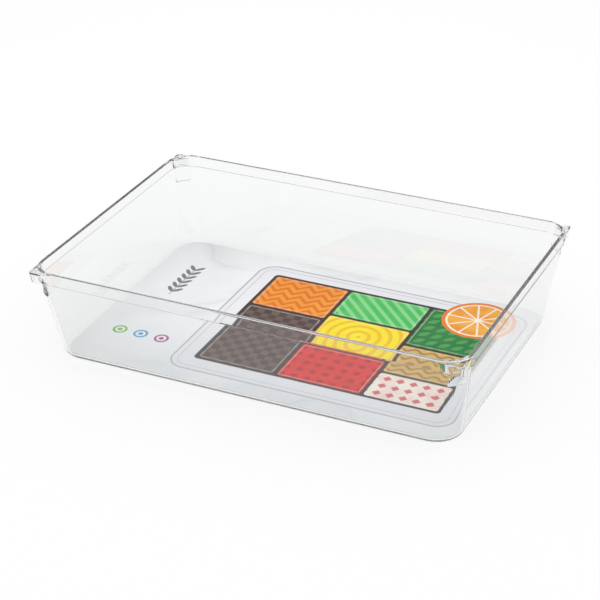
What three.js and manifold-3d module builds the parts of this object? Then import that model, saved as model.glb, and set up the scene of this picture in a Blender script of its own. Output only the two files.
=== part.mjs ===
// A clear storage drawer: one open moulded tray, and the printed card that lies on its floor.
// Millimetres, +Z up, origin at the centre of the underside, length along X.
import * as THREE from 'three';
import { mergeVertices } from 'three/addons/utils/BufferGeometryUtils.js';
import Module from 'manifold-3d';

const wasm = await Module();
wasm.setup();

// Tray, outside sizes over the lip and over the underside
const lipLength = 377;
const lipWidth = 255;
const trayHeight = 82;
const baseLength = 354;
const baseWidth = 232;

// Tray walls
const wallThickness = 2;
const floorThickness = 2.2;
const lipCornerRadius = 21;     // outside of the lip, seen from above
const baseCornerRadius = 23;    // outside of the wall at the underside
const bandHeight = 10.2;        // the lip's outside, from the rim down to its lower edge
const bandStep = 1.2;           // how far the lip stands outside the wall below it
const bandLean = 0.6;           // how far its long sides lean in by the lower edge
const bandRounding = 0.15;      // that lower edge
const uprightHeight = 10;       // inside, from the rim down to where the wall starts to slope
const rimRounding = 1.1;        // both edges of the rim's top
const bottomRounding = 3.7;     // where the wall turns into the underside
const floorRounding = 2.6;      // where the wall turns into the floor inside

// Corner tabs: a square plate with a skirt, outside each rounded corner of the lip
const tabDrop = 1.6;            // rim's top down to the plate's top
const tabSetback = 0.15;        // the plate's edges, behind the lip's outside
const tabThickness = 1.8;
const tabSkirtThickness = 1.6;
const tabSkirtDepth = 9.2;      // plate's top down to the skirt's lower edge
const tabSkirtDraft = 1.2;      // how far the skirt leans in by its lower edge
const tabCornerRadius = 2.6;

// Stacking lug on the wall at each round corner: it comes out of the wall below the tab
const lugWidth = 15;            // along its curved face
const lugReach = 1.4;           // how far its lower end stands out of the wall
const lugLowerEdge = 23.5;      // below the rim's top

// Card on the tray's floor
const cardThickness = 0.5;
const cardClearance = 0.3;      // all round, to where the floor starts to turn up

// Steps of the curves
const cornerSteps = 12;
const roundingSteps = 3;
const cutOverrun = 5;           // how far a cut runs past what it cuts

const quarterTurn = Math.PI / 2;
const cornerSigns = [[1, 1], [-1, 1], [-1, -1], [1, -1]];

const finishes = {
  tray: { color: 0xeef1f2, roughness: 0.06, metalness: 0, transparent: true, opacity: 0.35 },
  insert_card: { color: 0xc9d0d4, roughness: 0.55, metalness: 0 },
};

// Points of a rounded rectangle, anticlockwise from above
function roundedOutline({ halfX, halfY, radius }) {
  return cornerSigns.flatMap(([signX, signY], corner) => {
    const arc = [];
    for (let step = 0; step <= cornerSteps; step += 1) {
      const angle = (corner + step / cornerSteps) * quarterTurn;
      const x = signX * (halfX - radius) + radius * Math.cos(angle);
      const y = signY * (halfY - radius) + radius * Math.sin(angle);
      arc.push([x, y]);
    }
    return arc;
  });
}

// A closed body through rings of equal point counts, anticlockwise from above and capped at both ends
function loft(rings) {
  const count = rings[0].length;
  const lastStart = (rings.length - 1) * count;
  const indices = [];
  for (let start = 0; start < lastStart; start += count) {
    for (let i = 0; i < count; i += 1) {
      const a = start + i;
      const b = start + ((i + 1) % count);
      indices.push(a, b, b + count, a, b + count, a + count);
    }
  }
  for (let i = 1; i + 1 < count; i += 1) {
    indices.push(0, i + 1, i);
    indices.push(lastStart, lastStart + i, lastStart + i + 1);
  }
  const geometry = new THREE.BufferGeometry();
  geometry.setAttribute('position', new THREE.Float32BufferAttribute(rings.flat(2), 3));
  geometry.setIndex(indices);
  return geometry;
}

const atHeight = (points, z) => points.map(([x, y]) => [x, y, z]);
const loftPlaces = (places) => loft(places.map((place) => atHeight(roundedOutline(place), place.z)));

// An outline in the plane, drawn up from one height to another
function prism(points, lowZ, highZ) {
  const shape = new THREE.Shape(points.map(([x, y]) => new THREE.Vector2(x, y)));
  const geometry = new THREE.ExtrudeGeometry(shape, { depth: highZ - lowZ, bevelEnabled: false });
  return geometry.translate(0, 0, lowZ);
}

// Points drawn in the corner with positive X and Y, moved to another corner and kept anticlockwise
function toCorner([signX, signY], points) {
  const moved = points.map(([x, y]) => [signX * x, signY * y]);
  return signX * signY > 0 ? moved : moved.reverse();
}

function toSolid(geometry) {
  geometry.deleteAttribute('normal');
  geometry.deleteAttribute('uv');
  const merged = mergeVertices(geometry);
  return new wasm.Manifold(new wasm.Mesh({
    numProp: 3,
    vertProperties: merged.attributes.position.array,
    triVerts: Uint32Array.from(merged.index.array),
  }));
}

function toGeometry(solid) {
  const { vertProperties, triVerts } = solid.getMesh();
  const geometry = new THREE.BufferGeometry();
  geometry.setAttribute('position', new THREE.BufferAttribute(vertProperties, 3));
  geometry.setIndex(new THREE.BufferAttribute(triVerts, 1));
  geometry.computeVertexNormals();
  return geometry;
}

// Outlines of the drafted wall, of the lip and of its outer band at a height, at a distance in
const bandLowerEdge = trayHeight - bandHeight;
const slopeTop = trayHeight - uprightHeight;
const wallFoot = { halfX: baseLength / 2, halfY: baseWidth / 2, radius: baseCornerRadius };
const wallHead = {
  halfX: lipLength / 2 - bandStep,
  halfY: lipWidth / 2 - bandStep - bandLean,
  radius: lipCornerRadius - bandStep,
};

function wallAt(z, inset = 0) {
  const share = z / bandLowerEdge;
  const across = (key) => wallFoot[key] + (wallHead[key] - wallFoot[key]) * share - inset;
  return { halfX: across('halfX'), halfY: across('halfY'), radius: across('radius'), z };
}

function lipAt(z, inset = 0) {
  return {
    halfX: lipLength / 2 - inset,
    halfY: lipWidth / 2 - inset,
    radius: lipCornerRadius - inset,
    z,
  };
}

function bandAt(z, inset = 0) {
  const lip = lipAt(z, inset);
  return { ...lip, halfY: lip.halfY - bandLean * (trayHeight - z) / bandHeight };
}

const uprightAt = (z, inset) => ({ ...wallAt(slopeTop, inset), z });

// Rounded edges of the tray's section, each as a run of outlines
const roundingAngles = Array.from(
  { length: roundingSteps + 1 },
  (_, step) => (step / roundingSteps) * quarterTurn,
);

function lowerOuterEdge(outlineAt, z, size) {
  return roundingAngles.map((angle) =>
    outlineAt(z + size * (1 - Math.cos(angle)), size * (1 - Math.sin(angle))));
}

function upperOuterEdge(outlineAt, z, size) {
  return roundingAngles.map((angle) =>
    outlineAt(z - size * (1 - Math.sin(angle)), size * (1 - Math.cos(angle))));
}

function upperInnerEdge(outlineAt, z, size, thickness) {
  return roundingAngles.map((angle) =>
    outlineAt(z - size * (1 - Math.cos(angle)), thickness - size * (1 - Math.sin(angle))));
}

function innerFoot(outlineAt, z, size, thickness) {
  return roundingAngles.map((angle) =>
    outlineAt(z + size * (1 - Math.sin(angle)), thickness + size * (1 - Math.cos(angle))));
}

// The section runs from the underside up the outside, over the rim and down to the floor
const trayShell = () => toSolid(loftPlaces([
  ...lowerOuterEdge(wallAt, 0, bottomRounding),
  wallAt(bandLowerEdge),
  ...lowerOuterEdge(bandAt, bandLowerEdge, bandRounding),
  ...upperOuterEdge(bandAt, trayHeight, rimRounding),
  ...upperInnerEdge(uprightAt, trayHeight, rimRounding, wallThickness),
  wallAt(slopeTop, wallThickness),
  ...innerFoot(wallAt, floorThickness, floorRounding, wallThickness),
]));

// What lies inside the middle of the walls, which tabs and lugs may not enter
const insideWall = () => toSolid(loftPlaces([
  wallAt(0, wallThickness / 2),
  wallAt(trayHeight + cutOverrun, wallThickness / 2),
]));

// Square corner region outside the lip's round corner, with its outer corner rounded
function cornerSquare(inset, reach, radius) {
  const outerX = lipLength / 2 - tabSetback - inset;
  const outerY = lipWidth / 2 - tabSetback - inset;
  const innerX = lipLength / 2 - reach;
  const innerY = lipWidth / 2 - reach;
  const arc = roundingAngles.map((angle) => [
    outerX - radius * (1 - Math.cos(angle)),
    outerY - radius * (1 - Math.sin(angle)),
  ]);
  return [[innerX, innerY], [outerX, innerY], ...arc, [innerX, outerY]];
}

// Drawn between two insets, one at the lower height and one at the upper
function cornerBlock(signs, [lowInset, highInset], reach, [lowZ, highZ]) {
  const ring = (inset, z) => {
    const radius = Math.max(tabCornerRadius - inset, tabSkirtThickness / 2);
    return atHeight(toCorner(signs, cornerSquare(inset, reach, radius)), z);
  };
  return toSolid(loft([ring(lowInset, lowZ), ring(highInset, highZ)]));
}

function cornerTab(signs) {
  const plateTop = trayHeight - tabDrop;
  const plateUnder = plateTop - tabThickness;
  const skirtEdge = plateTop - tabSkirtDepth;
  const block = cornerBlock(signs, [tabSkirtDraft, 0], lipCornerRadius, [skirtEdge, plateTop]);
  const pocket = cornerBlock(
    signs,
    [tabSkirtThickness + tabSkirtDraft, tabSkirtThickness],
    lipCornerRadius + cutOverrun,
    [skirtEdge - cutOverrun, plateUnder],
  );
  return block.subtract(pocket);
}

// The lug's curved face is upright, so it leaves the sloping wall as it goes down
function cornerLug(signs) {
  const lowZ = trayHeight - lugLowerEdge;
  const highZ = trayHeight - tabDrop - tabThickness / 2;
  const { halfX, halfY, radius } = wallAt(lowZ);
  const faceRadius = radius + lugReach;
  const rootRadius = radius / 2;
  const arc = (arcRadius) => roundingAngles.map((angle) => {
    const turn = quarterTurn / 2 + (angle / quarterTurn - 1 / 2) * lugWidth / faceRadius;
    const x = halfX - radius + arcRadius * Math.cos(turn);
    const y = halfY - radius + arcRadius * Math.sin(turn);
    return [x, y];
  });
  const points = [...arc(faceRadius), ...arc(rootRadius).reverse()];
  return toSolid(prism(toCorner(signs, points), lowZ, highZ));
}

function trayGeometry() {
  let tray = trayShell();
  cornerSigns.forEach((signs) => {
    const outside = cornerTab(signs).add(cornerLug(signs)).subtract(insideWall());
    tray = tray.add(outside);
  });
  return toGeometry(tray);
}

// The card fills the flat of the floor, less its clearance
function cardGeometry() {
  const flat = wallAt(floorThickness, wallThickness + floorRounding + cardClearance);
  return prism(roundedOutline(flat), floorThickness, floorThickness + cardThickness);
}

function piece(name, geometry) {
  const mesh = new THREE.Mesh(geometry, new THREE.MeshStandardMaterial(finishes[name]));
  mesh.name = name;
  return mesh;
}

const storageDrawer = new THREE.Group();
storageDrawer.name = 'storage_drawer';
storageDrawer.add(piece('tray', trayGeometry()));
storageDrawer.add(piece('insert_card', cardGeometry()));

export default storageDrawer;
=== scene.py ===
# Clear storage drawer: a moulded see-through tray and the printed card that lies on its floor.
# Metres, +Z up, origin at the centre of the underside, length along X.
import math

import bmesh
import bpy
from mathutils import Matrix, Vector


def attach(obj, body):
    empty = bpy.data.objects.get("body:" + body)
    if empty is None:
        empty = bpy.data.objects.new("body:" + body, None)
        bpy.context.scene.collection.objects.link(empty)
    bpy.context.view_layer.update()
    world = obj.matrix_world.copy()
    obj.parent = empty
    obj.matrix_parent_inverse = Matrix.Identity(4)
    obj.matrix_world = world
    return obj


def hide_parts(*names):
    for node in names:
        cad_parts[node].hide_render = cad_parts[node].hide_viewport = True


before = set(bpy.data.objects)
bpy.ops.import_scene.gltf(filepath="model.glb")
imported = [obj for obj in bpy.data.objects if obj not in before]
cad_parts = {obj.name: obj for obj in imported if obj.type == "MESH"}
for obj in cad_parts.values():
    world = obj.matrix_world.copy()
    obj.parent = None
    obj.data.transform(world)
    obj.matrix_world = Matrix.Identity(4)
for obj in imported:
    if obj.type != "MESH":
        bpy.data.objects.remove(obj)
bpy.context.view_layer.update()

mm = 0.001
quarterTurn = math.pi / 2


# Small helpers for modelling by hand

def clearSelection():
    if bpy.context.mode != "OBJECT":
        bpy.ops.object.mode_set(mode="OBJECT")
    bpy.ops.object.select_all(action="DESELECT")


def makeActive(piece):
    clearSelection()
    piece.select_set(True)
    bpy.context.view_layer.objects.active = piece


def editPiece(piece):
    makeActive(piece)
    bpy.ops.object.mode_set(mode="EDIT")
    bpy.ops.mesh.select_mode(type="VERT")
    bpy.ops.mesh.select_all(action="DESELECT")


def leaveEdit():
    bpy.ops.object.mode_set(mode="OBJECT")


def newPiece(name):  # an empty mesh to draw outlines in
    clearSelection()
    bpy.ops.mesh.primitive_plane_add(size=2)
    piece = bpy.context.object
    piece.name = piece.data.name = name
    editPiece(piece)
    bpy.ops.mesh.select_all(action="SELECT")
    bpy.ops.mesh.delete(type="VERT")
    return piece


def pickVertices(piece, wanted):  # in edit mode: what passes the test, with the edges and faces between
    mesh = bmesh.from_edit_mesh(piece.data)
    for vertex in mesh.verts:
        vertex.select_set(False)
    mesh.select_flush(False)
    for vertex in mesh.verts:
        if wanted(vertex):
            vertex.select_set(True)
    mesh.select_flush(True)
    bmesh.update_edit_mesh(piece.data)


def applyModifier(piece, kind, **settings):
    makeActive(piece)
    modifier = piece.modifiers.new(kind.title(), kind)
    for key, value in settings.items():
        setattr(modifier, key, value)
    bpy.ops.object.modifier_apply(modifier=modifier.name)


def combine(piece, other, how):  # cuts, joins or crosses one solid with another, which is used up
    applyModifier(piece, "BOOLEAN", object=other, operation=how, solver="EXACT")
    bpy.data.objects.remove(other)


def recalculateNormals(piece):
    editPiece(piece)
    bpy.ops.mesh.select_all(action="SELECT")
    bpy.ops.mesh.normals_make_consistent(inside=False)
    leaveEdit()


def softenEdges(piece, width, sharperThan=50):
    applyModifier(piece, "BEVEL", width=width, segments=2, angle_limit=math.radians(sharperThan))


def finishShading(piece, smoothBelow=32):  # edges that bend by fewer degrees look like one curve
    makeActive(piece)
    bpy.ops.object.shade_smooth_by_angle(angle=math.radians(smoothBelow), keep_sharp_edges=True)
    applyModifier(piece, "WEIGHTED_NORMAL", keep_sharp=True, weight=100)


# Outlines are rounded rectangles seen from above, and each keeps its own vertex group

def drawOutline(piece, outline, z, label, segments):
    halfX, halfY, radius = outline
    bpy.ops.mesh.select_all(action="DESELECT")
    bpy.ops.mesh.primitive_plane_add(size=2, location=(0, 0, z))
    bpy.ops.transform.resize(value=(halfX, halfY, 1), center_override=(0, 0, z))
    bpy.ops.mesh.bevel(offset=radius, segments=segments, affect="VERTICES", clamp_overlap=False)
    piece.vertex_groups.active = piece.vertex_groups.new(name=label)
    bpy.ops.object.vertex_group_assign()
    bpy.ops.mesh.delete(type="ONLY_FACE")


def pickOutlines(piece, *labels):  # what is an outline's by more than half, so that roundings keep their own
    mesh = bmesh.from_edit_mesh(piece.data)
    weights = mesh.verts.layers.deform.verify()
    wanted = [piece.vertex_groups[label].index for label in labels]
    pickVertices(piece, lambda vertex: any(vertex[weights].get(index, 0) > 0.5 for index in wanted))


def stackOutlines(name, stations, segments):  # a closed solid through outlines at their heights
    piece = newPiece(name)
    apart = 10 * mm  # outlines are joined one above another, and then go to their own heights
    for step, (label, (outline, _)) in enumerate(stations.items()):
        drawOutline(piece, outline, step * apart, label, segments)
    labels = list(stations)
    for lower, upper in zip(labels, labels[1:]):
        pickOutlines(piece, lower, upper)
        bpy.ops.mesh.bridge_edge_loops()
    for label in (labels[0], labels[-1]):
        pickOutlines(piece, label)
        bpy.ops.mesh.edge_face_add()
    for step, (label, (_, z)) in enumerate(stations.items()):
        pickOutlines(piece, label)
        bpy.ops.transform.translate(value=(0, 0, z - step * apart))
    leaveEdit()
    recalculateNormals(piece)
    return piece


def roundOutlines(piece, sizes, segments):
    editPiece(piece)
    for label, size in sizes.items():
        pickOutlines(piece, label)
        bpy.ops.mesh.bevel(offset=size, segments=segments, affect="EDGES", profile=0.5, clamp_overlap=False)
    leaveEdit()


print("camera")
viewpoint = {
    "lens": 109.62,
    "sensor": 36.0,
    "aimsAt": (0.0353, -0.0839, 0.082),
    "distance": 1.4288,
    "turned": 25.75,  # round the drawer, in degrees
    "lookingDown": 28.76,
    "roll": -1.03,
    "near": 0.05,
    "far": 50,
}


def placeCamera():
    turn = (
        Matrix.Rotation(math.radians(viewpoint["turned"]), 4, "Z")
        @ Matrix.Rotation(math.radians(90 - viewpoint["lookingDown"]), 4, "X")
        @ Matrix.Rotation(math.radians(viewpoint["roll"]), 4, "Z")
    )
    place = Vector(viewpoint["aimsAt"]) + turn @ Vector((0, 0, viewpoint["distance"]))
    clearSelection()
    bpy.ops.object.camera_add(location=place, rotation=turn.to_euler())
    camera = bpy.context.object
    camera.data.lens = viewpoint["lens"]
    camera.data.sensor_width = viewpoint["sensor"]
    camera.data.clip_start = viewpoint["near"]
    camera.data.clip_end = viewpoint["far"]
    bpy.context.scene.camera = camera


placeCamera()

print("tray")
tray = {
    "lipSize": (377 * mm, 255 * mm),
    "baseSize": (354 * mm, 232 * mm),
    "height": 82 * mm,
    "wall": 2 * mm,
    "floor": 2.2 * mm,
    "lipRadius": 21 * mm,
    "baseRadius": 23 * mm,
    "band": 10.2 * mm,        # outside, rim down to the band's lower edge
    "step": 1.2 * mm,         # how far the band stands outside the wall
    "lean": 0.6 * mm,         # how far its long sides lean in by that edge
    "upright": 10 * mm,       # inside, rim down to where the wall starts to slope
    "rimRounding": 1.1 * mm,
    "bandRounding": 0.15 * mm,
    "bottomRounding": 3.7 * mm,
    "floorRounding": 2.6 * mm,
    "cornerSegments": 24,
    "roundingSegments": 4,
}
tab = {
    "drop": 1.6 * mm,
    "setback": 0.15 * mm,     # how far it keeps inside the lip's own face
    "plate": 1.8 * mm,
    "skirt": 1.6 * mm,
    "skirtDepth": 9.2 * mm,
    "draft": 1.2 * mm,
    "radius": 2.6 * mm,
    "radiusSegments": 6,
    "edges": 0.3 * mm,
}
lug = {
    "width": 15 * mm,
    "reach": 1.4 * mm,
    "lowerEdge": 23.5 * mm,   # below the rim
    "edges": 0.3 * mm,
    "steps": 12,
}
overrun = 5 * mm  # how far a cut runs past what it cuts

bandLowZ = tray["height"] - tray["band"]
slopeTopZ = tray["height"] - tray["upright"]


def lipOutline(inset=0):
    halfX, halfY = (side / 2 - inset for side in tray["lipSize"])
    return halfX, halfY, tray["lipRadius"] - inset


def wallOutline(z, inset=0):
    share = z / bandLowZ
    foot = (tray["baseSize"][0] / 2, tray["baseSize"][1] / 2, tray["baseRadius"])
    halfX, halfY, radius = lipOutline(tray["step"])
    head = (halfX, halfY - tray["lean"], radius)
    return tuple(low + (high - low) * share - inset for low, high in zip(foot, head))


def makeShell():
    lip = lipOutline()
    inside = wallOutline(slopeTopZ, tray["wall"])
    shell = stackOutlines("clear_tray", {
        "underside": (wallOutline(0), 0),
        "bandUnder": (wallOutline(bandLowZ), bandLowZ),
        "bandEdge": ((lip[0], lip[1] - tray["lean"], lip[2]), bandLowZ),
        "rimOuter": (lip, tray["height"]),
        "rimInner": (inside, tray["height"]),
        "slopeTop": (inside, slopeTopZ),
        "floorEdge": (wallOutline(tray["floor"], tray["wall"]), tray["floor"]),
    }, tray["cornerSegments"])
    roundOutlines(shell, {
        "underside": tray["bottomRounding"],
        "bandEdge": tray["bandRounding"],
        "rimOuter": tray["rimRounding"],
        "rimInner": tray["rimRounding"],
        "floorEdge": tray["floorRounding"],
    }, tray["roundingSegments"])
    editPiece(shell)
    pickOutlines(shell, "slopeTop")
    bpy.ops.mesh.mark_sharp()  # a crisp bend, which smoothing would blur in the clear plastic
    leaveEdit()
    return shell


def cornerBlock(name, low, high, inner, inset, draft, rounding):  # drawn in the corner with positive X and Y
    clearSelection()
    innerX, innerY = inner
    outerX, outerY = (side / 2 - tab["setback"] - inset for side in tray["lipSize"])
    middle = ((innerX + outerX) / 2, (innerY + outerY) / 2, high)
    bpy.ops.mesh.primitive_plane_add(size=1, location=middle)
    block = bpy.context.object
    block.name = name
    bpy.ops.object.transform_apply(location=True, rotation=False, scale=False)
    editPiece(block)
    bpy.ops.mesh.select_all(action="SELECT")
    bpy.ops.transform.resize(value=(outerX - innerX, outerY - innerY, 1), center_override=middle)
    pickVertices(block, lambda vertex: vertex.co.x > middle[0] and vertex.co.y > middle[1])
    segments = tab["radiusSegments"]
    bpy.ops.mesh.bevel(offset=rounding, segments=segments, affect="VERTICES", clamp_overlap=False)
    bpy.ops.mesh.select_all(action="SELECT")
    bpy.ops.mesh.extrude_region_move(TRANSFORM_OT_translate={"value": (0, 0, low - high)})
    narrower = tuple(1 - draft / side for side in (outerX - innerX, outerY - innerY))
    bpy.ops.transform.resize(value=(*narrower, 1), center_override=(innerX, innerY, low))
    leaveEdit()
    recalculateNormals(block)
    return block


def makeCornerTab():
    plateTop = tray["height"] - tab["drop"]
    skirtEdge = plateTop - tab["skirtDepth"]
    innerPoint = tuple(side / 2 - tray["lipRadius"] for side in tray["lipSize"])
    tabPiece = cornerBlock(
        "corner_tab",
        low=skirtEdge,
        high=plateTop,
        inner=innerPoint,
        inset=0,
        draft=tab["draft"],
        rounding=tab["radius"],
    )
    softenEdges(tabPiece, tab["edges"])
    pocketInner = tuple(value - overrun for value in innerPoint)
    pocketDraft = tab["draft"] * (tab["skirtDepth"] - tab["plate"] + overrun) / tab["skirtDepth"]
    pocket = cornerBlock(
        "pocket",
        low=skirtEdge - overrun,
        high=plateTop - tab["plate"],
        inner=pocketInner,
        inset=tab["skirt"],
        draft=pocketDraft,
        rounding=tab["radius"] - tab["skirt"],
    )
    combine(tabPiece, pocket, "DIFFERENCE")
    return tabPiece


def makeCornerLug():  # a curved pad, spun round the wall's corner, that leaves the wall as it goes down
    lowZ = tray["height"] - lug["lowerEdge"]
    highZ = tray["height"] - tab["drop"] - tab["plate"] / 2
    halfX, halfY, radius = wallOutline(lowZ)
    centre = (halfX - radius, halfY - radius, 0)
    faceRadius = radius + lug["reach"]
    rootRadius = radius / 2
    sweep = lug["width"] / faceRadius
    clearSelection()
    bpy.ops.mesh.primitive_plane_add(size=1)
    lugPiece = bpy.context.object
    lugPiece.name = "corner_lug"
    editPiece(lugPiece)
    bpy.ops.mesh.select_all(action="SELECT")
    bpy.ops.transform.resize(value=(faceRadius - rootRadius, highZ - lowZ, 1), center_override=(0, 0, 0))
    leaveEdit()
    lugPiece.matrix_world = (
        Matrix.Translation(centre)
        @ Matrix.Rotation(quarterTurn / 2 + sweep / 2, 4, "Z")
        @ Matrix.Translation(((faceRadius + rootRadius) / 2, 0, (lowZ + highZ) / 2))
        @ Matrix.Rotation(quarterTurn, 4, "X")
    )
    makeActive(lugPiece)
    bpy.ops.object.transform_apply(location=True, rotation=True, scale=True)
    editPiece(lugPiece)
    bpy.ops.mesh.select_all(action="SELECT")
    bpy.ops.mesh.spin(steps=lug["steps"], dupli=False, angle=sweep, center=centre, axis=(0, 0, 1))
    leaveEdit()
    recalculateNormals(lugPiece)
    softenEdges(lugPiece, lug["edges"])
    return lugPiece


def makeInsideWall():  # what tabs and lugs may not enter
    top = tray["height"] + overrun
    return stackOutlines("inside_wall", {
        "low": (wallOutline(0, tray["wall"] / 2), 0),
        "high": (wallOutline(top, tray["wall"] / 2), top),
    }, tray["cornerSegments"])


trayPiece = makeShell()
for corner in (makeCornerTab(), makeCornerLug()):
    combine(corner, makeInsideWall(), "DIFFERENCE")
    applyModifier(corner, "MIRROR", use_axis=(True, True, False), use_mirror_merge=False)
    combine(trayPiece, corner, "UNION")
recalculateNormals(trayPiece)
finishShading(trayPiece)

print("card")
card = {
    "clearance": 0.3 * mm,    # all round, to where the floor turns up
    "thickness": 0.5 * mm,
    "lift": 0.05 * mm,        # off the floor, so that the two faces don't share a plane
    "edges": 0.12 * mm,
    "edgeSegments": 2,
}


def makeCard():
    outline = wallOutline(tray["floor"], card["clearance"] + tray["floorRounding"] + tray["wall"])
    piece = stackOutlines("printed_card", {
        "below": (outline, tray["floor"] + card["lift"]),
        "above": (outline, tray["floor"] + card["thickness"]),
    }, tray["cornerSegments"])
    roundOutlines(piece, {"above": card["edges"]}, card["edgeSegments"])
    recalculateNormals(piece)
    finishShading(piece)
    return piece


cardPiece = makeCard()

print("materials")


class Link:  # a socket in an expression: the operators add the nodes, with a number on either side
    def __init__(self, paint, socket):
        self.paint = paint
        self.socket = socket

    def __add__(self, other):
        return self.paint.math("ADD", self, other)

    def __sub__(self, other):
        return self.paint.math("SUBTRACT", self, other)

    def __rsub__(self, other):
        return self.paint.math("SUBTRACT", other, self)

    def __mul__(self, other):
        return self.paint.math("MULTIPLY", self, other)

    def __truediv__(self, other):
        return self.paint.math("DIVIDE", self, other)

    def __rtruediv__(self, other):
        return self.paint.math("DIVIDE", other, self)

    def __gt__(self, other):
        return self.paint.math("GREATER_THAN", self, other)

    def __lt__(self, other):
        return self.paint.math("LESS_THAN", self, other)

    __radd__ = __add__
    __rmul__ = __mul__


class Paint:  # one material, or the world, and the nodes it is made of
    def __init__(self, owner):
        owner.use_nodes = True
        self.owner = owner
        self.tree = owner.node_tree
        self.tree.nodes.clear()

    def node(self, kind, settings=None, sockets=None, output=0):
        made = self.tree.nodes.new("ShaderNode" + kind)
        for key, value in (settings or {}).items():
            setattr(made, key, value)
        for key, value in (sockets or {}).items():
            if isinstance(value, Link):
                self.tree.links.new(value.socket, made.inputs[key])
            elif isinstance(value, tuple) and len(value) == 3 and made.inputs[key].type == "RGBA":
                made.inputs[key].default_value = (*value, 1)
            else:
                made.inputs[key].default_value = value
        return Link(self, made.outputs[output]) if made.outputs else None

    def math(self, operation, *values):
        return self.node("Math", {"operation": operation}, dict(enumerate(values)))

    def noise(self, place, scale, detail, **others):
        return self.node("TexNoise", {}, {"Vector": place, "Scale": scale, "Detail": detail, **others})

    def part(self, place, axis):  # X, Y or Z of a place
        return self.node("SeparateXYZ", {}, {"Vector": place}, axis)

    def smooth(self, value, low, high):  # 0 below low, 1 above high
        limits = {"Value": value, "From Min": low, "From Max": high}
        return self.node("MapRange", {"interpolation_type": "SMOOTHSTEP"}, limits)

    def blend(self, share, first, second):  # colours, from the first at 0 to the second at 1
        return self.node("Mix", {"data_type": "RGBA"}, {0: share, 6: first, 7: second}, output=2)

    def finish(self, shader, output="OutputMaterial"):
        self.node(output, {}, {"Surface": shader})
        return self.owner


def shade(*values):  # a screen colour, 0 to 255, as the linear one that shaders take
    parts = [value / 255 for value in values]
    return tuple(part / 12.92 if part < 0.04045 else ((part + 0.055) / 1.055) ** 2.4 for part in parts)


clearPlastic = {
    "tint": (0.942, 0.949, 0.950),
    "index": 1.57,
    "mirror": (0.6, 0.6, 0.6),  # softens the studio's reflection on the faces
    "gloss": 0.02,              # roughness of the polished faces
    "haze": 0.02,               # and what fine clouds add to it
    "hazeScale": 160.0,
    "scuff": 0.25,              # added roughness at the foot, where the drawer rubs on shelves
    "scuffFade": (0.3 * mm, 1.8 * mm),  # heights between which it fades out
    "flowScale": 45,            # moulding ripples, waves per metre
    "flowRoughness": 0.4,
    "flowDepth": 0.012 * mm,
    "flowStrength": 0.5,
    "shadow": (0.98, 0.983, 0.983),
}


def makeClearPlastic():
    p = Paint(bpy.data.materials.new("clear_plastic"))
    place = p.node("TexCoord", output="Object")
    flow = p.noise(place, clearPlastic["flowScale"], detail=1.0, Roughness=clearPlastic["flowRoughness"])
    ripple = p.node("Bump", {}, {
        "Height": flow,
        "Strength": clearPlastic["flowStrength"],
        "Distance": clearPlastic["flowDepth"],
    })
    haze = p.noise(place, clearPlastic["hazeScale"], detail=2.0) * clearPlastic["haze"]
    scuff = (1 - p.smooth(p.part(place, "Z"), *clearPlastic["scuffFade"])) * clearPlastic["scuff"]
    plastic = p.node("BsdfPrincipled", {}, {
        "Base Color": clearPlastic["tint"],
        "Roughness": haze + clearPlastic["gloss"] + scuff,
        "IOR": clearPlastic["index"],
        "Specular Tint": clearPlastic["mirror"],
        "Transmission Weight": 1.0,
        "Normal": ripple,
    })
    passing = p.node("BsdfTransparent", {}, {"Color": clearPlastic["shadow"]})
    isShadow = p.node("LightPath", output="Is Shadow Ray")
    return p.finish(p.node("MixShader", {}, {0: isShadow, 1: plastic, 2: passing}))


# The card's print is drawn in millimetres, seen from above, with the drawer's front towards the reader
marble = {
    "tones": (shade(249, 250, 251), shade(238, 240, 242)),
    "toneFade": (0.3, 0.75),
    "veinColour": shade(206, 211, 216),
    "veinAreas": (0.4, 0.62),   # how cloudy the ground is where veins show
    "veins": ((0.05, 0.22), (0.008, 0.22)),  # reach in the drift and strength: a smear, a fine line
    "cloudScale": 7.0,
    "cloudDistortion": 0.6,
    "driftScale": 4.2,
    "driftDistortion": 1.2,
    "frontShadeTone": shade(196, 202, 206),  # painted shade: the ground greys a little towards the front edge, where the front wall shades the card
    "frontShadeFade": (-95, 30),
    "frontShadeShare": 0.28,
}
panel = {  # a framed field with the tiles in it
    "box": (-84, -95, 166, 95),
    "radius": 16,
    "colour": shade(236, 235, 241),
    "share": 0.8,
    "lineColour": shade(150, 152, 162),
    "lines": ((0, 1.5, 0.75), (5.5, 0.8, 0.5)),  # distance in, width, strength
    "backing": (-67, -77, 151, 81),
    "backingRadius": 4,
    "backingColour": shade(62, 52, 52),
}
tiles = [  # left, front, right, back, colour, second colour, motif
    (-64, 25, 5, 78, shade(246, 158, 38), shade(222, 106, 30), "chevrons"),
    (-64, -74, 5, 22, shade(74, 60, 60), shade(116, 94, 86), "checks"),
    (8, 35, 82, 78, shade(66, 190, 92), shade(146, 220, 148), "stripes"),
    (8, -17, 82, 32, shade(250, 228, 40), shade(236, 190, 30), "rings"),
    (8, -74, 82, -20, shade(222, 40, 38), shade(176, 18, 24), "dots"),
    (85, 13, 148, 78, shade(30, 124, 60), shade(86, 166, 88), "leaves"),
    (85, -34, 148, 10, shade(212, 180, 102), shade(166, 118, 64), "waves"),
    (85, -74, 148, -37, shade(244, 236, 226), shade(210, 48, 46), "diamonds"),
]
tileFace = {
    "radius": 2.5,
    "motifShare": 0.85,
    "grainFade": (0.35, 0.75),
    "grainShare": 0.25,
    "seamColour": shade(236, 228, 216),  # fine pale line inside each tile's edge
    "seamInset": 1.6,
    "seamWidth": 0.5,
    "seamShare": 0.7,
}
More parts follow.
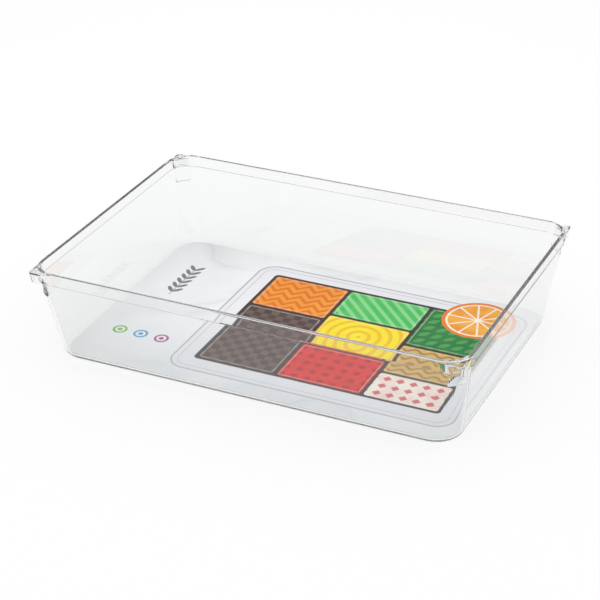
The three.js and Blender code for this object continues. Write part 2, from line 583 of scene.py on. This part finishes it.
motifSizes = {
    "stripes": {"repeat": 6, "width": 2.6},
    "chevrons": {"zigzag": 8.5, "repeat": 5, "width": 2.2},
    "rings": {"repeat": 4.5, "width": 1.7},
    "waves": {"bends": 0.42, "height": 2.4, "repeat": 4.2, "width": 1.6},
    "checks": {"repeat": 7, "width": 3.5},
    "dots": {"cell": 11.4, "radius": 3.1},
    "diamonds": {"cell": 11.4, "half": 3.9},
    "leaves": {"cell": 11.4, "long": 6, "wide": 2.9},
}
orangeSlice = {  # a round of orange, seen from above
    "centre": (127, 74),
    "radius": 31,
    "rind": 3.4,
    "pith": 1.8,
    "core": 2.4,
    "skin": 0.8,              # between the segments
    "segments": 10,
    "rindColour": shade(240, 128, 34),
    "pithColour": shade(252, 244, 230),
    "flesh": (shade(250, 178, 66), shade(238, 142, 40)),
    "fleshFade": (0.35, 0.7),
}
marks = [  # small rings: place, colour
    ((-146, -60), shade(120, 186, 52)),
    ((-126, -60), shade(70, 160, 208)),
    ((-106, -60), shade(168, 62, 140)),
]
mark = {"radius": 6.4, "band": 2.0, "heart": 2.2}
sprig = {  # a stem with leaves in pairs
    "foot": (-138, 10),
    "step": 8.5,
    "pairs": 6,
    "firstPair": 0.6,         # above the foot, in steps
    "leaf": (5.2, 1.9),
    "leafOut": 1.1,           # its middle from the stem, in leaf lengths
    "leafEdge": 0.08,
    "spread": 40,             # degrees from the stem
    "stem": 0.8,
    "stemRadius": 0.2,
    "colour": shade(84, 88, 92),
    "share": 0.85,
}
cardStock = {
    "grainScale": 55.0,
    "grainRoughness": 0.6,
    "roughness": 0.36,
    "grainShine": 0.12,       # what the grain adds to it
    "index": 1.5,
    "fibreScale": 900.0,
    "fibreDepth": 0.02 * mm,
    "fibreStrength": 0.15,
    "board": shade(226, 222, 214),  # its bare edges and underside
}


class CardPrint(Paint):  # masks are 1 inside a shape
    def vector(self, operation, *values, output=0):
        return self.node("VectorMath", {"operation": operation}, dict(enumerate(values)), output)

    def parts(self, place):
        return self.part(place, "X"), self.part(place, "Y")

    def centred(self, place, centre):  # x and y from a centre
        return self.parts(self.vector("SUBTRACT", place, (*centre, 0)))

    def reach(self, x, y):  # distance from the centre
        return self.math("SQRT", x * x + y * y)

    def fromBox(self, place, box, radius):  # distance outside a rounded box, in millimetres
        left, front, right, back = box
        half = ((right - left) / 2 - radius, (back - front) / 2 - radius, 1000)  # height never counts
        centred = self.vector("SUBTRACT", place, ((left + right) / 2, (front + back) / 2, 0))
        beyond = self.vector("SUBTRACT", self.vector("ABSOLUTE", centred), half)
        outside = self.vector("LENGTH", self.vector("MAXIMUM", beyond, (0, 0, 0)), output="Value")
        within = self.math("MINIMUM", self.math("MAXIMUM", *self.parts(beyond)), 0.0)
        return outside + within - radius

    def inside(self, distance, soft=0.25):  # the edge blurs over soft to either side
        return 1 - self.smooth(distance, -soft, soft)

    def line(self, distance, width):
        return self.inside(self.math("ABSOLUTE", distance) - width / 2)

    def swing(self, value, reach):  # goes up and down between 0 and reach
        return self.math("PINGPONG", value, reach)

    def bands(self, value, size):
        return self.inside(self.swing(value, size["repeat"]) - size["width"])

    def motif(self, kind, x, y):
        size = motifSizes[kind]
        if kind == "stripes":
            return self.bands(x + y, size)
        if kind == "chevrons":
            return self.bands(y + self.swing(x, size["zigzag"]), size)
        if kind == "rings":
            return self.bands(self.reach(x, y), size)
        if kind == "waves":
            return self.bands(y + self.math("SINE", x * size["bends"]) * size["height"], size)
        if kind == "checks":
            across, along = self.bands(x, size), self.bands(y, size)
            return across + along - across * along * 2
        halfCell = size["cell"] / 2
        cellX, cellY = (self.math("WRAP", value, halfCell, -halfCell) for value in (x, y))
        if kind == "dots":
            return self.inside(self.reach(cellX, cellY) - size["radius"])
        if kind == "diamonds":
            return self.inside(self.math("ABSOLUTE", cellX) + self.math("ABSOLUTE", cellY) - size["half"])
        slant = 0.707  # leaves lie along the cell's diagonal
        along, across = (cellX + cellY) * slant, (cellX - cellY) * slant
        halfWidth = (1 - along * along / size["long"] ** 2) * size["wide"]
        return self.inside(self.math("ABSOLUTE", across) - halfWidth)

    def paintMarble(self, metres):
        clouds = self.noise(metres, marble["cloudScale"], detail=3.0, Distortion=marble["cloudDistortion"])
        drift = self.noise(metres, marble["driftScale"], detail=3.0, Distortion=marble["driftDistortion"])
        fromVein = self.math("ABSOLUTE", drift - 0.5)  # veins run where the drift passes its middle
        smear, fine = (
            (1 - self.smooth(fromVein, 0.0, reach)) * strength for reach, strength in marble["veins"])
        veins = (smear + fine) * self.smooth(clouds, *marble["veinAreas"])
        ground = self.blend(self.smooth(clouds, *marble["toneFade"]), *marble["tones"])
        return self.blend(veins, ground, marble["veinColour"])

    def paintPanel(self, place, colour):
        edge = self.fromBox(place, panel["box"], panel["radius"])
        colour = self.blend(self.inside(edge) * panel["share"], colour, panel["colour"])
        for inset, width, share in panel["lines"]:
            colour = self.blend(self.line(edge + inset, width) * share, colour, panel["lineColour"])
        return colour

    # painted shade: the marble and the panel grey towards the front edge, standing in for the front wall's
    # shadow
    def paintFrontShade(self, place, colour):
        fade = 1 - self.smooth(self.part(place, "Y"), *marble["frontShadeFade"])
        return self.blend(fade * marble["frontShadeShare"], colour, marble["frontShadeTone"])

    def paintBacking(self, place, colour):
        edge = self.fromBox(place, panel["backing"], panel["backingRadius"])
        return self.blend(self.inside(edge), colour, panel["backingColour"])

    def paintTile(self, place, colour, grain, tile):
        left, front, right, back, ground, second, kind = tile
        edge = self.fromBox(place, (left, front, right, back), tileFace["radius"])
        x, y = self.centred(place, ((left + right) / 2, (front + back) / 2))
        seam = self.line(edge + tileFace["seamInset"], tileFace["seamWidth"])
        speckle = self.smooth(grain, *tileFace["grainFade"])
        face = self.blend(self.motif(kind, x, y) * tileFace["motifShare"], ground, second)
        face = self.blend(speckle * tileFace["grainShare"], face, second)
        face = self.blend(seam * tileFace["seamShare"], face, tileFace["seamColour"])
        return self.blend(self.inside(edge), colour, face)

    def paintSlice(self, place, colour, grain):
        x, y = self.centred(place, orangeSlice["centre"])
        distance = self.reach(x, y)
        pithEdge = orangeSlice["radius"] - orangeSlice["rind"]
        fleshEdge = pithEdge - orangeSlice["pith"]
        fromSkin = distance * self.swing(self.math("ARCTAN2", y, x), math.pi / orangeSlice["segments"])
        skin = self.inside(fromSkin - orangeSlice["skin"])
        core = self.inside(distance - orangeSlice["core"])
        segment = self.inside(distance - fleshEdge) * (1 - skin) * (1 - core)
        flesh = self.blend(self.smooth(grain, *orangeSlice["fleshFade"]), *orangeSlice["flesh"])
        pith = self.inside(distance - pithEdge)
        face = self.blend(pith, orangeSlice["rindColour"], orangeSlice["pithColour"])
        face = self.blend(segment, face, flesh)
        return self.blend(self.inside(distance - orangeSlice["radius"]), colour, face)

    def paintMark(self, place, colour, centre, ink):
        distance = self.reach(*self.centred(place, centre))
        ring = self.line(distance - mark["radius"] + mark["band"] / 2, mark["band"])
        heart = self.inside(distance - mark["heart"])
        return self.blend(self.math("MAXIMUM", ring, heart), colour, ink)

    def paintSprig(self, place, colour):
        footX, footY = sprig["foot"]
        halfLong, halfWide = sprig["leaf"]
        halfStem = sprig["stem"] / 2
        top = footY + sprig["pairs"] * sprig["step"]
        stem = (footX - halfStem, footY, footX + halfStem, top)
        ink = self.inside(self.fromBox(place, stem, sprig["stemRadius"]))
        out = halfLong * sprig["leafOut"]
        for pair in range(sprig["pairs"]):
            joint = footY + (pair + sprig["firstPair"]) * sprig["step"]
            for side in (-1, 1):
                turn = math.radians(90 - side * sprig["spread"])
                cosine, sine = math.cos(turn), math.sin(turn)
                x, y = self.centred(place, (footX + cosine * out, joint + sine * out))
                along, across = x * cosine + y * sine, y * cosine - x * sine
                leaf = self.reach(along / halfLong, across / halfWide) - 1
                ink = self.math("MAXIMUM", ink, self.inside(leaf, sprig["leafEdge"]))
        return self.blend(ink * sprig["share"], colour, sprig["colour"])


def makeCardStock():
    p = CardPrint(bpy.data.materials.new("printed_card"))
    metres = p.node("TexCoord", output="Object")
    place = p.vector("MULTIPLY", metres, (1 / mm, 1 / mm, 0))
    grain = p.noise(metres, cardStock["grainScale"], detail=5.0, Roughness=cardStock["grainRoughness"])
    # the marble and the panel take painted shade towards the front edge
    colour = p.paintFrontShade(place, p.paintPanel(place, p.paintMarble(metres)))
    colour = p.paintBacking(place, colour)
    for tile in tiles:
        colour = p.paintTile(place, colour, grain, tile)
    colour = p.paintSlice(place, colour, grain)
    for centre, ink in marks:
        colour = p.paintMark(place, colour, centre, ink)
    colour = p.paintSprig(place, colour)

    printFoot = tray["floor"] + card["thickness"] - card["edges"] * 1.5  # a little below the bevelled edge
    isTop = p.part(metres, "Z") > printFoot
    fibres = p.noise(metres, cardStock["fibreScale"], detail=3.0)
    tooth = p.node("Bump", {}, {
        "Height": fibres,
        "Strength": cardStock["fibreStrength"],
        "Distance": cardStock["fibreDepth"],
    })
    return p.finish(p.node("BsdfPrincipled", {}, {
        "Base Color": p.blend(isTop, cardStock["board"], colour),
        "Roughness": grain * cardStock["grainShine"] + cardStock["roughness"],
        "IOR": cardStock["index"],
        "Normal": tooth,
    }))


def dress(piece, material, node):
    piece.data.materials.clear()
    piece.data.materials.append(material)
    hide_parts(node)
    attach(piece, "root")


dress(trayPiece, makeClearPlastic(), "tray")
dress(cardPiece, makeCardStock(), "insert_card")

print("studio")
studio = {
    "soft": 0.85,             # world light on the object
    "dimming": (0.04, 0.22),  # the room behind the white sweep goes dim between these heights, as sines
    "dimLevel": 0.32,
    "paper": (0.93, 0.93, 0.93),
    "floorHalf": 4.0,
    "floorZ": -0.2 * mm,      # a little low, so that it shares no plane with the tray's underside
    "floorShare": 0.3,        # of the white that is seen on the floor, what the light on it makes
    "floorGlow": 0.69,        # the rest, so that its shadows stay soft
    "floorRoughness": 0.9,
    "lampsAim": (0, 0, 0.03),
}
lamps = {
    "overhead": {"place": (-0.25, 0.35, 1.5), "size": 1.2, "power": 7.0},
    "front": {"place": (0.9, -1.3, 1.1), "size": 0.9, "power": 3.0},
}


def seenDirectly(p):  # by the camera, in gloss or through the clear plastic
    names = ("Is Camera Ray", "Is Glossy Ray", "Is Transmission Ray")
    camera, gloss, through = (p.node("LightPath", output=name) for name in names)
    return p.math("MAXIMUM", camera, p.math("MAXIMUM", gloss, through))


def makeWorld():
    world = bpy.data.worlds.new("studio_world")
    bpy.context.scene.world = world
    p = Paint(world)
    direction = p.node("TexCoord", output="Generated")
    dim = p.smooth(p.part(direction, "Z"), *studio["dimming"])
    isCamera = p.node("LightPath", output="Is Camera Ray")
    around = 1 - dim * (1 - isCamera) * (1 - studio["dimLevel"])
    soft = p.node("Background", {}, {"Color": (1, 1, 1), "Strength": studio["soft"]})
    white = p.node("Background", {}, {"Color": (1, 1, 1), "Strength": around})
    p.finish(p.node("MixShader", {}, {0: seenDirectly(p), 1: soft, 2: white}), "OutputWorld")


def makeFloor():
    clearSelection()
    bpy.ops.mesh.primitive_plane_add(size=2 * studio["floorHalf"], location=(0, 0, studio["floorZ"]))
    floor = bpy.context.object
    floor.name = "studio_floor"
    p = Paint(bpy.data.materials.new("studio_floor"))
    seen = seenDirectly(p)
    seenPaper = tuple(part * studio["floorShare"] for part in studio["paper"])
    floor.data.materials.append(p.finish(p.node("BsdfPrincipled", {}, {
        "Base Color": p.blend(seen, studio["paper"], seenPaper),
        "Roughness": studio["floorRoughness"],
        "Specular IOR Level": 0.0,
        "Emission Color": (1, 1, 1),
        "Emission Strength": seen * studio["floorGlow"],
    })))


def makeLamps():
    for name, lamp in lamps.items():
        clearSelection()
        place = Vector(lamp["place"])
        turn = (place - Vector(studio["lampsAim"])).to_track_quat("Z", "Y").to_euler()
        bpy.ops.object.light_add(type="AREA", location=place, rotation=turn)
        light = bpy.context.object
        light.name = name + "_softbox"
        light.data.shape = "SQUARE"
        light.data.size = lamp["size"]
        light.data.energy = lamp["power"]


makeWorld()
makeFloor()
makeLamps()

scene = bpy.context.scene
scene.view_settings.view_transform = "Standard"
scene.cycles.use_denoising = True
scene.cycles.max_bounces = 40  # light runs a long way inside the clear rim
scene.cycles.transmission_bounces = 30
scene.cycles.glossy_bounces = 30
scene.cycles.transparent_max_bounces = 16
